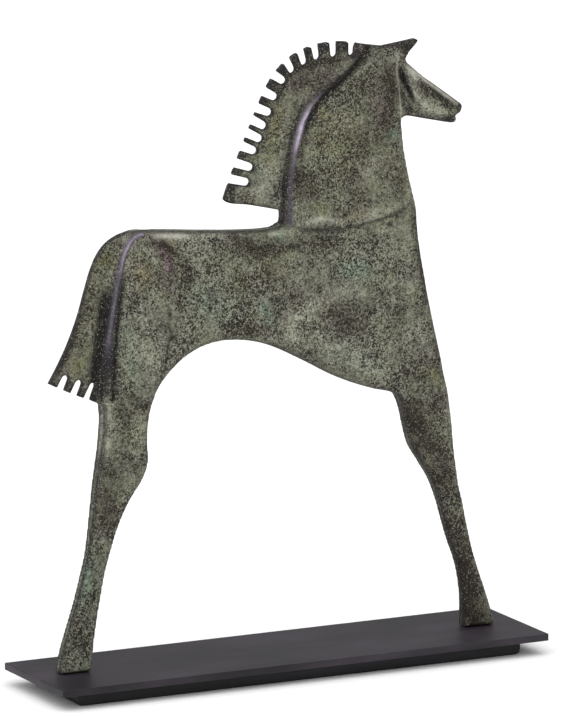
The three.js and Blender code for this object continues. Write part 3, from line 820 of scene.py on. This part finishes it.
points, faces, on_line = plane_inside()
gap = nearest_on(outline, points, closed=True, reach=REACH)[0]
gap[on_line] = 0
depth, table, coats = relief(points, gap)
count = len(points)
near = np.stack([points[:, 0], -depth, points[:, 1]], 1)
edges = np.vstack([faces[:, [0, 1]], faces[:, [1, 2]], faces[:, [2, 0]]])
edges = edges[~np.isin(edges[:, 0] * count + edges[:, 1], edges[:, 1] * count + edges[:, 0])]
rim = np.unique(edges)
middle_of = np.zeros(count, int)
middle_of[rim] = np.arange(len(rim)) + 2 * count
middle = near[rim] * [1, 0, 1]
a, b = edges.T
wall = np.vstack([
    np.stack([b, a, middle_of[a]], 1), np.stack([b, middle_of[a], middle_of[b]], 1),
    np.stack([middle_of[b], middle_of[a], a + count], 1), np.stack([middle_of[b], a + count, b + count], 1),
])
skin = np.vstack([faces, faces[:, ::-1] + count, wall])
horse = new_object("horse_casting", np.vstack([near, near * [1, -1, 1], middle]), skin.tolist())
horse.data.shade_smooth()
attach(horse, "root")
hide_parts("horse")

# The patina was dabbed and rubbed on by hand, and some strokes paint highlights and shade. Each coat has its
# strokes, as (half width, strength, points of its line): a bell across the line that weakens towards both
# ends.
# The strongest stroke at a point counts. Bold is no coat of its own, but marks where the powder's fine net
# shows most.
STROKES = {
    "painted_highlight": [
        # Painted highlights on the back's top bevel, the neck's front rim, the nose's bridge, the ledge's lip
        # and the upper cheek.
        (2.1, 0.6, (-120, 384.4), (-104, 383.4), (-88, 381.8)),
        (1.3, 0.5, (107.6, 508), (109.2, 497), (110.2, 489), (110.7, 480), (111.5, 468)),
        (1.5, 1.0, (119.5, 509.5), (125, 503.5), (134, 496.3), (146, 487.6), (158, 478.8), (167, 472.2)),
        (1.8, 0.2, (20, 385), (33, 386.4), (44, 384.2)),
        (2.6, 0.55, (118, 507), (122.5, 502), (125.5, 497)),
    ],
    "pale_patina_and_painted_highlight": [
        # Painted highlights on the back's top bevel, the cheek's ridge and upper facet, the neck's front rim
        # and the ledge's lip.
        (2.8, 0.5, (-88, 381.8), (-50, 379.8)),
        (2.4, 0.5, (-14, 377), (6, 377)),
        (4, 0.75, (117, 504), (120.5, 494), (125, 484), (130, 477), (137, 471.5), (150, 465.5)),
        (4.5, 0.7, (118.5, 508), (123, 500), (127, 493)),
        (3.4, 0.9, (107.5, 521), (108, 513)),
        (1.7, 0.95, (108.2, 513), (107.6, 506), (109.2, 497), (110.2, 489), (110.7, 480), (111.5, 466)),
        (2.4, 0.4, (12.7, 383.6), (24, 386), (33.3, 386.8), (46.5, 384.5), (52.6, 380.5)),
        (4.5, 0.3, (66, 381), (78, 384.5), (90, 388.5), (100, 393)),
        # Pale patina.
        (7, 0.4, (30, 498), (22, 488)),
        (6, 0.35, (51, 470), (59, 462)),
        (11, 0.65, (87, 432), (74, 416)),
        (9, 0.6, (-21, 409), (-13, 420), (-7, 428)),
        (9, 0.6, (3, 298), (27, 314), (63, 325)),
        (6, 0.7, (5, 293), (10, 285)),
        (11, 0.55, (33, 278), (59, 269), (88, 261)),
        (6, 0.5, (122, 282), (137, 272)),
        (9, 0.35, (-143, 295), (-121, 281), (-127, 269)),
        # Painted highlights on the haunch's front rim and the hind leg's rear rim.
        (2, 0.6, (-105, 347), (-104, 330), (-106, 308)),
        (4, 0.6, (-165, 247), (-164, 223), (-167, 203)),
        # Pale patina.
        (5, 0.4, (-135, 227), (-137, 210)),
        (3, 0.4, (153, 230), (156, 204)),
        (6, 0.5, (-193, 26), (-190, 36)),
    ],
    "teal": [
        (10, 0.65, (52, 339), (76, 341)),
        (5, 0.7, (97, 453), (108, 451)),
        (9, 0.45, (42, 274), (82, 261)),
        (13, 0.4, (-83, 333), (-55, 315)),
        (6, 0.6, (-22, 319), (-12, 301)),
        (8, 0.35, (-20, 432), (-19, 418)),
        (10, 0.25, (-146, 310), (-142, 262)),
        (5, 0.6, (-8, 374.5), (-2, 374.5)),
        (8, 0.5, (-176, 118), (-182, 95), (-187, 73)),
        (7, 0.45, (-190, 24), (-187, 38)),
    ],
    "olive": [
        (6, 0.6, (0, 488), (-6, 463), (-10, 436)),
        (8, 0.3, (-24, 465), (-18, 438)),
        (6, 0.7, (-157, 372), (-168, 362)),
        (7, 0.6, (-184, 288), (-190, 272)),
        (7, 0.5, (-44, 345), (-35, 332)),
        (5, 0.6, (34, 480), (44, 465)),
        (12, 0.35, (-20, 345), (0, 350)),
        (6, 0.5, (28, 396), (40, 394)),
        (6, 0.6, (134, 248), (151, 236)),
        (6, 0.4, (141, 157), (156, 145)),
        (7, 0.3, (-138, 222), (-134, 208)),
        (26, 0.35, (38, 468), (70, 440), (94, 412)),
        (14, 0.35, (-178, 350), (-194, 292)),
    ],
    "ochre": [
        (8, 0.75, (-136, 360), (-131, 347)),
        (6, 0.5, (34, 456), (37, 448)),
        (4.5, 0.4, (-113, 379), (-106, 377)),
        (5, 0.4, (-132, 240), (-126, 232)),
        (3.5, 0.6, (52, 387), (74, 387)),
    ],
    "plum": [
        (6, 1.0, (-119, 378), (-110, 368), (-107, 352)),
        (4, 0.6, (-108, 352), (-109, 338)),
        (5, 0.7, (11, 501), (22, 502)),
        (8, 0.5, (38, 503), (52, 512)),
        (6, 0.85, (64, 526), (78, 521)),
        (8, 0.6, (87, 484), (93, 466)),
        (8, 0.5, (-196, 306), (-186, 316)),
        (6, 0.5, (-165, 166), (-163, 151)),
        (7, 0.5, (150, 150), (156, 160)),
        (7, 0.5, (171, 79), (177, 52)),
    ],
    "umber_patina_and_painted_shade": [
        # Painted shade in the valley in front of the crest's bead.
        (4, 1.0, (85, 525), (65, 509), (46, 497), (33, 489), (26, 479), (23, 471)),
        (4, 0.6, (23, 471), (19, 454), (14, 433)),
        # Umber patina.
        (8, 1.0, (12, 429), (17, 421), (30, 417)),
        (7, 0.85, (10, 424), (15, 413), (28, 408)),
        (4, 0.85, (39, 417), (46, 414)),
        (8, 0.5, (68, 480), (85, 476)),
        # Painted shade beside the neck's front bead.
        (8, 1.0, (98, 512), (103, 494), (102, 476), (97, 459)),
        # Umber patina.
        (5, 0.6, (111, 419), (112, 407)),
        (6, 0.5, (61, 405), (78, 399)),
        # Painted shade on the chest's front rim, which is turned from the light.
        (4.5, 1.0, (123, 385), (127, 363), (130, 341), (134, 305)),
        # Umber patina.
        (5, 0.9, (1, 505), (15, 512), (36, 518), (68, 519)),
        # Painted shade along the haunch's top front edge and in the hollow in front of it.
        (2.6, 0.95, (-124, 381), (-112, 376), (-100, 368), (-93, 359)),
        (5, 0.9, (-97, 362), (-90, 354), (-93, 340)),
        (3.5, 0.85, (-98, 328), (-96, 324)),
        # Umber patina.
        (8, 1.0, (-46, 371), (-22, 363), (-4, 367)),
        # Painted shade under the neck's ledge.
        (5, 0.6, (1, 366), (21, 367), (44, 368)),
        # Umber patina.
        (12, 0.45, (42, 306), (72, 298)),
        (6, 0.5, (104, 304), (108, 288)),
        (5, 0.6, (113, 248), (136, 239)),
        (6, 0.7, (-57, 299), (-26, 296)),
        (6, 0.6, (-146, 254), (-136, 244)),
        # Painted shade along the haunch's front step.
        (1.3, 0.6, (-107, 298), (-114, 264), (-124, 233)),
        # Umber patina.
        (6, 0.5, (-155, 249), (-146, 223)),
        (8, 0.6, (-167, 199), (-160, 176), (-167, 151), (-173, 135)),
        (9, 0.3, (-150, 205), (-146, 190)),
        (14, 0.25, (-174, 100), (-188, 40), (-194, 20)),
        (3, 0.5, (-167, 79), (-173, 46)),
        (13, 1.0, (117, 215), (132, 194), (144, 176)),
        (13, 1.0, (152, 115), (167, 86), (175, 58), (182, 32), (188, 18)),
        (14, 0.9, (182, 40), (187, 22)),
        (8, 0.35, (146, 258), (140, 290)),
        # Painted shade on the head's facet that slopes to the nose, and in the recess behind the cheek.
        (4.5, 1.0, (128, 491), (141, 484.5), (153, 477.5), (163, 471.5)),
        (3, 0.7, (112.5, 489), (114, 478), (117, 468)),
        (4, 0.75, (114, 474), (122, 470)),
        # Umber patina.
        (16, 0.25, (-152, 205), (-168, 140), (-176, 100)),
        (16, 0.25, (-150, 250), (-146, 215)),
        (18, 0.45, (125, 235), (146, 160), (165, 90), (186, 20)),
        (26, 0.35, (34, 450), (62, 425), (92, 440)),
        (22, 0.3, (52, 492), (84, 500)),
        (15, 0.3, (8, 494), (36, 512), (70, 522)),
        (12, 0.45, (-52, 366), (-10, 362)),
        (14, 0.5, (112, 522), (126, 528)),
    ],
    "dark_patina_and_painted_shade": [
        # Dark patina.
        (2.6, 0.9, (94, 528), (108, 528), (118, 525.5), (127, 527.5)),
        (3, 0.9, (118, 521), (125, 526)),
        (2.8, 0.9, (170, 465), (168.6, 470.5)),
        # Painted shade on the muzzle's front and under the jaw.
        (3.4, 1.0, (152, 460), (158, 459), (164, 458.5)),
        (2.6, 0.6, (117, 462.5), (130, 464), (146, 461)),
        (2.6, 0.7, (-184, 322), (-193, 300), (-203, 281), (-211, 267)),
        # Dark patina.
        (6, 0.9, (-163, 296), (-168, 270), (-171, 254)),
    ],
    "bold": [
        (28, 1.0, (35, 470), (62, 425)),
        (26, 1.0, (-75, 345), (-20, 345)),
        (24, 1.0, (-70, 315), (-20, 315)),
        (22, 0.9, (50, 285), (100, 262)),
        (14, 0.8, (-150, 235), (-145, 205)),
        (20, 0.6, (30, 372), (80, 350)),
        (16, 0.6, (150, 120), (175, 60)),
    ],
}
STROKE_END = 0.45
STROKE_REACH = 3
EDGE_LINE = 1.3
TOOTH_REACH = 7.5
TOOTH_HALF = 4
THIN_WALL = (7, 3.5)
tooth_soot = np.array([(400, 0.6), (440, 0.65), (500, 0.9)]).T

for coat, strokes in STROKES.items():
    coats[coat] = np.zeros(count)
    for width, strength, *line in strokes:
        away, _, _, share = nearest_on(np.array(line, float), points, reach=STROKE_REACH * width)
        fade = 1 - STROKE_END * (2 * share - 1) ** 4
        coats[coat] = np.maximum(coats[coat], strength * fade * np.exp(-((away / width) ** 2)))
# Dark patina on the ends of the teeth.
dark_patina_and_painted_shade = np.interp(points[:, 1], *tooth_soot) * (table < TOOTH_HALF)
for line in (mane_rim[:-SPAN_STEPS], tail_end):
    away = nearest_on(line, points, reach=STROKE_REACH * TOOTH_REACH)[0]
    coats["dark_patina_and_painted_shade"] = np.maximum(coats["dark_patina_and_painted_shade"], dark_patina_and_painted_shade * np.exp(-((away / TOOTH_REACH) ** 4)))
coats["edge"] = np.exp(-((gap / EDGE_LINE) ** 2))
thin = ease(table, *THIN_WALL)[rim]
for name, coat in coats.items():
    on_wall = coat[rim] * thin if name == "edge" else coat[rim]
    values = np.concatenate([coat, coat, on_wall]).clip(0, 1)
    layer = horse.data.attributes.new(name, "FLOAT", "POINT")
    layer.data.foreach_set("value", values.astype(np.float32))

# Cast aluminium, blackened, dabbed with grey-green powder and waxed: a matt skin whose powder lies in a fine
# net of light threads over a dark ground, with bare violet-grey metal only where hands have rubbed the beads.
# The real net is finer than 1 mm, and this one is as coarse as it needs to be to show.
# Each pattern has its size in mm, its detail, its roughness and how far it is stirred. A spread is the two
# values of a pattern's noise between which something passes from one share to another.
PATTERNS = {
    "net": (3.4, 2.0, 0.5, 0.6), "pore": (1.6, 2.0, 0.6, 0.5), "fleck": (1.3, 1.0, 0.5, 0),
    "grain": (5.0, 3.0, 0.6, 0.3), "cloud": (24.0, 4.0, 0.6, 0.4), "zone": (34.0, 2.0, 0.5, 0),
    "drift": (24.0, 3.0, 0.6, 0), "rust": (12.0, 3.0, 0.6, 0),
}
SPREADS = {
    "zone": (0.4, 0.6, 0.45, 0.95), "drift": (0.4, 0.6, 0.0, 1.0), "rust": (0.45, 0.7, 0.0, 1.0),
    "grain": (0.3, 0.7, 0.6, 1.35), "fleck": (0.62, 0.74, 0.0, 0.45),
}
GROUND = "#211c15"
GROUND_BROWN = "#2d221b"
POWDER = "#929285"
POWDER_GREEN = "#868975"
FLECKS = "#b4b4a0"
POWDER_COATS = {
    "teal": "#74907f", "olive": "#7f8052", "ochre": "#8b8060", "plum": "#7d6b6d", "pale_patina_and_painted_highlight": "#a9a998",
}
NOISE_MIDDLE = 0.5
COVER = 0.39
COVER_PATTERNS = {"grain": 0.8, "cloud": 1.4}
NET_HALF = 0.07
NET_MEAN = 0.38
NET_HEIGHT = 0.8
PORE_HEIGHT = 2.2
FINE_BOLD = 0.45
# Coats push the powder's cover and lay colours on top. Besides stains and bare metal, they paint light and
# shade: highlights on lit rims, and shade in hollows, under the ledge and on faces turned from the light.
COVER_COATS = {"umber_patina_and_painted_shade": -0.42, "dark_patina_and_painted_shade": -0.4, "plum": -0.08, "pale_patina_and_painted_highlight": 0.25, "painted_highlight": 0.4, "olive": 0.05}
TOP_COATS = [
    ("umber_patina_and_painted_shade", 0.45, "#1f1712"), ("dark_patina_and_painted_shade", 0.9, "#1e1b1e"), ("painted_ledge_shadow", 0.85, "#1b1815"),
    ("painted_highlight", 0.8, "#bdbab0"), ("edge", 0.85, "#1e1c1e"), ("roll", 1.0, "#332c37"),
    ("painted_hollow_shade", 1.1, "#0e0c0b"), ("bright_metal_and_painted_highlight", 0.95, "#c4b9cd"),
]
WAX_SHEEN = 0.2
ROUGH_PATINA = 0.72
ROUGH_METAL = 0.36
DULL_METAL = 0.4
CAST_GRAIN_DEPTH = 0.4
CAST_GRAIN_SHARE = 0.8
CAST_GRAIN_STRENGTH = 0.35

patina = bpy.data.materials.new("cast_aluminium_patina")
patina.use_nodes = True
tree = patina.node_tree
shader = tree.nodes["Principled BSDF"]
shader.inputs["Specular IOR Level"].default_value = WAX_SHEEN
place = add(tree, "ShaderNodeTexCoord").outputs["Object"]
pattern = {}
for name, (size, detail, roughness, stir) in PATTERNS.items():
    inputs = {"Scale": 1 / (size * MM), "Detail": detail, "Roughness": roughness, "Distortion": stir}
    pattern[name] = add(tree, "ShaderNodeTexNoise", {"Vector": place, **inputs}).outputs["Fac"]
spread = {}
for name, (start, end, least, most) in SPREADS.items():
    inputs = {"Value": pattern[name], "From Min": start, "From Max": end, "To Min": least, "To Max": most}
    spread[name] = add(tree, "ShaderNodeMapRange", inputs).outputs["Result"]
coat = {name: add(tree, "ShaderNodeAttribute", attribute_name=name).outputs["Fac"] for name in coats}

# The powder's cover, from 0 to 1: a mean, plus each pattern's swing about its middle and each coat's push.
# The net's threads lie where its noise is close to its middle. With the pores they are faint in some zones
# and bold in others.
inputs = {0: pattern["net"], 1: NOISE_MIDDLE}
off = add(tree, "ShaderNodeMath", inputs, operation="SUBTRACT").outputs["Value"]
off = add(tree, "ShaderNodeMath", {0: off}, operation="ABSOLUTE").outputs["Value"]
inputs = {"Value": off, "From Min": 0.0, "From Max": NET_HALF, "To Min": 1 - NET_MEAN, "To Max": -NET_MEAN}
threads = add(tree, "ShaderNodeMapRange", inputs).outputs["Result"]
inputs = {0: threads, 1: NET_HEIGHT, 2: -NOISE_MIDDLE * PORE_HEIGHT}
fine = add(tree, "ShaderNodeMath", inputs, operation="MULTIPLY_ADD").outputs["Value"]
inputs = {0: pattern["pore"], 1: PORE_HEIGHT, 2: fine}
fine = add(tree, "ShaderNodeMath", inputs, operation="MULTIPLY_ADD").outputs["Value"]
inputs = {0: coat["bold"], 1: FINE_BOLD, 2: spread["zone"]}
zone = add(tree, "ShaderNodeMath", inputs, operation="MULTIPLY_ADD").outputs["Value"]
cover = COVER - NOISE_MIDDLE * sum(COVER_PATTERNS.values())
pushes = [(fine, zone)] + [(pattern[name], weight) for name, weight in COVER_PATTERNS.items()]
pushes += [(coat[name], weight) for name, weight in COVER_COATS.items()]
for source, weight in pushes:
    inputs = {0: source, 1: weight, 2: cover}
    cover = add(tree, "ShaderNodeMath", inputs, operation="MULTIPLY_ADD").outputs["Value"]
cover = add(tree, "ShaderNodeMath", {0: cover, 1: 0.0}, operation="ADD", use_clamp=True).outputs["Value"]

# The colours. A colour Mix node's sockets go by number: 0 is the share, 6 and 7 the colours, 2 the result.
inputs = {0: spread["drift"], 6: linear(POWDER), 7: linear(POWDER_GREEN)}
powder = add(tree, "ShaderNodeMix", inputs, data_type="RGBA").outputs[2]
for name, tint in POWDER_COATS.items():
    inputs = {0: coat[name], 6: powder, 7: linear(tint)}
    powder = add(tree, "ShaderNodeMix", inputs, data_type="RGBA").outputs[2]
inputs = {0: spread["rust"], 6: linear(GROUND), 7: linear(GROUND_BROWN)}
ground = add(tree, "ShaderNodeMix", inputs, data_type="RGBA").outputs[2]
colour = add(tree, "ShaderNodeMix", {0: cover, 6: ground, 7: powder}, data_type="RGBA").outputs[2]
for name, strength, tint in TOP_COATS:
    inputs = {0: coat[name], 1: spread["grain"]}
    share = add(tree, "ShaderNodeMath", inputs, operation="MULTIPLY").outputs["Value"]
    inputs = {0: share, 1: strength}
    share = add(tree, "ShaderNodeMath", inputs, operation="MULTIPLY", use_clamp=True).outputs["Value"]
    inputs = {0: share, 6: colour, 7: linear(tint)}
    colour = add(tree, "ShaderNodeMix", inputs, data_type="RGBA").outputs[2]
inputs = {0: spread["fleck"], 6: colour, 7: linear(FLECKS)}
colour = add(tree, "ShaderNodeMix", inputs, data_type="RGBA").outputs[2]

# Rubbed beads show the metal, dull along their length and bright where the highlight is painted.
inputs = {0: coat["roll"], 1: DULL_METAL}
dull = add(tree, "ShaderNodeMath", inputs, operation="MULTIPLY").outputs["Value"]
inputs = {0: dull, 1: coat["bright_metal_and_painted_highlight"]}
metal = add(tree, "ShaderNodeMath", inputs, operation="MAXIMUM", use_clamp=True).outputs["Value"]
inputs = {"Value": metal, "To Min": ROUGH_PATINA, "To Max": ROUGH_METAL}
rough = add(tree, "ShaderNodeMapRange", inputs).outputs["Result"]
inputs = {0: pattern["grain"], 1: CAST_GRAIN_SHARE, 2: pattern["pore"]}
height = add(tree, "ShaderNodeMath", inputs, operation="MULTIPLY_ADD").outputs["Value"]
inputs = {"Strength": CAST_GRAIN_STRENGTH, "Distance": CAST_GRAIN_DEPTH * MM, "Height": height}
bumps = add(tree, "ShaderNodeBump", inputs).outputs["Normal"]
tree.links.new(colour, shader.inputs["Base Color"])
tree.links.new(metal, shader.inputs["Metallic"])
tree.links.new(rough, shader.inputs["Roughness"])
tree.links.new(bumps, shader.inputs["Normal"])
horse.data.materials.append(patina)

# The floor.
# A plain matt white sweep that everything stands on, so large that its end is never seen. It is the stage,
# and no part of the object.
FLOOR_REACH = 9000.0
FLOOR_WHITE = "#f6f6f6"
FLOOR_ROUGHNESS = 0.9
floor_corners = np.array([(-1, -1, 0), (1, -1, 0), (1, 1, 0), (-1, 1, 0)]) * FLOOR_REACH
floor = new_object("floor", floor_corners, [(0, 1, 2, 3)])
matt = bpy.data.materials.new("matt_white_floor")
matt.use_nodes = True
shader = matt.node_tree.nodes["Principled BSDF"]
shader.inputs["Base Color"].default_value = linear(FLOOR_WHITE)
shader.inputs["Roughness"].default_value = FLOOR_ROUGHNESS
floor.data.materials.append(matt)
floor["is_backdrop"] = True

# The light.
# One white surround that is brightest overhead and to the upper left, as from two softboxes.
# Each softbox is (direction to its middle, strength, power), and its light is the strength times that power
# of the cosine of the angle to its middle. A band at the horizon is white, so that the floor ends unseen.
SURROUND = 0.42
SOFTBOXES = [((-0.15, -0.25, 0.95), 2.0, 3.0), ((-0.85, -0.35, 0.38), 1.1, 5.0)]
HORIZON = 0.08
world = bpy.data.worlds.new("white_surround")
world.use_nodes = True
tree = world.node_tree
ray = add(tree, "ShaderNodeTexCoord").outputs["Generated"]
light = SURROUND
for direction, strength, power in SOFTBOXES:
    middle = Vector(direction).normalized()
    inputs = {0: ray, 1: middle}
    facing = add(tree, "ShaderNodeVectorMath", inputs, operation="DOT_PRODUCT").outputs["Value"]
    facing = add(tree, "ShaderNodeMath", {0: facing, 1: 0.0}, operation="MAXIMUM").outputs["Value"]
    glow = add(tree, "ShaderNodeMath", {0: facing, 1: power}, operation="POWER").outputs["Value"]
    inputs = {0: glow, 1: strength, 2: light}
    light = add(tree, "ShaderNodeMath", inputs, operation="MULTIPLY_ADD").outputs["Value"]
height = add(tree, "ShaderNodeSeparateXYZ", {0: ray}).outputs["Z"]
height = add(tree, "ShaderNodeMath", {0: height}, operation="ABSOLUTE").outputs["Value"]
inputs = {"Value": height, "From Min": 2 * HORIZON, "From Max": HORIZON}
band = add(tree, "ShaderNodeMapRange", inputs).outputs["Result"]
light = add(tree, "ShaderNodeMath", {0: light, 1: band}, operation="MAXIMUM").outputs["Value"]
tree.nodes["Background"].inputs["Color"].default_value = (1, 1, 1, 1)
tree.links.new(light, tree.nodes["Background"].inputs["Strength"])
bpy.context.scene.world = world

# The camera.
# It looks from the tail's side and a little above, through a long lens. The aim moves it across its view.
AZIMUTH = math.radians(26.9)
ELEVATION = math.radians(11.7)
DISTANCE = 8.381
LENS = 502.8
FOCUS = (0, 0, 0.2611)
AIM_RIGHT = 0.0031
AIM_UP = 0.007
look = Vector((math.sin(AZIMUTH), math.cos(AZIMUTH), -math.tan(ELEVATION))).normalized()
turn = look.to_track_quat("-Z", "Y")
camera_data = bpy.data.cameras.new("camera")
camera_data.lens = LENS
camera = bpy.data.objects.new("camera", camera_data)
bpy.context.collection.objects.link(camera)
camera.location = Vector(FOCUS) + turn @ Vector((AIM_RIGHT, AIM_UP, 0)) - look * DISTANCE
camera.rotation_euler = turn.to_euler()
bpy.context.scene.camera = camera
bpy.context.scene.view_settings.view_transform = "Standard"

size = {"cad": [list(corner) for corner in cad_box], "scene": [list(corner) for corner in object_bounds()]}
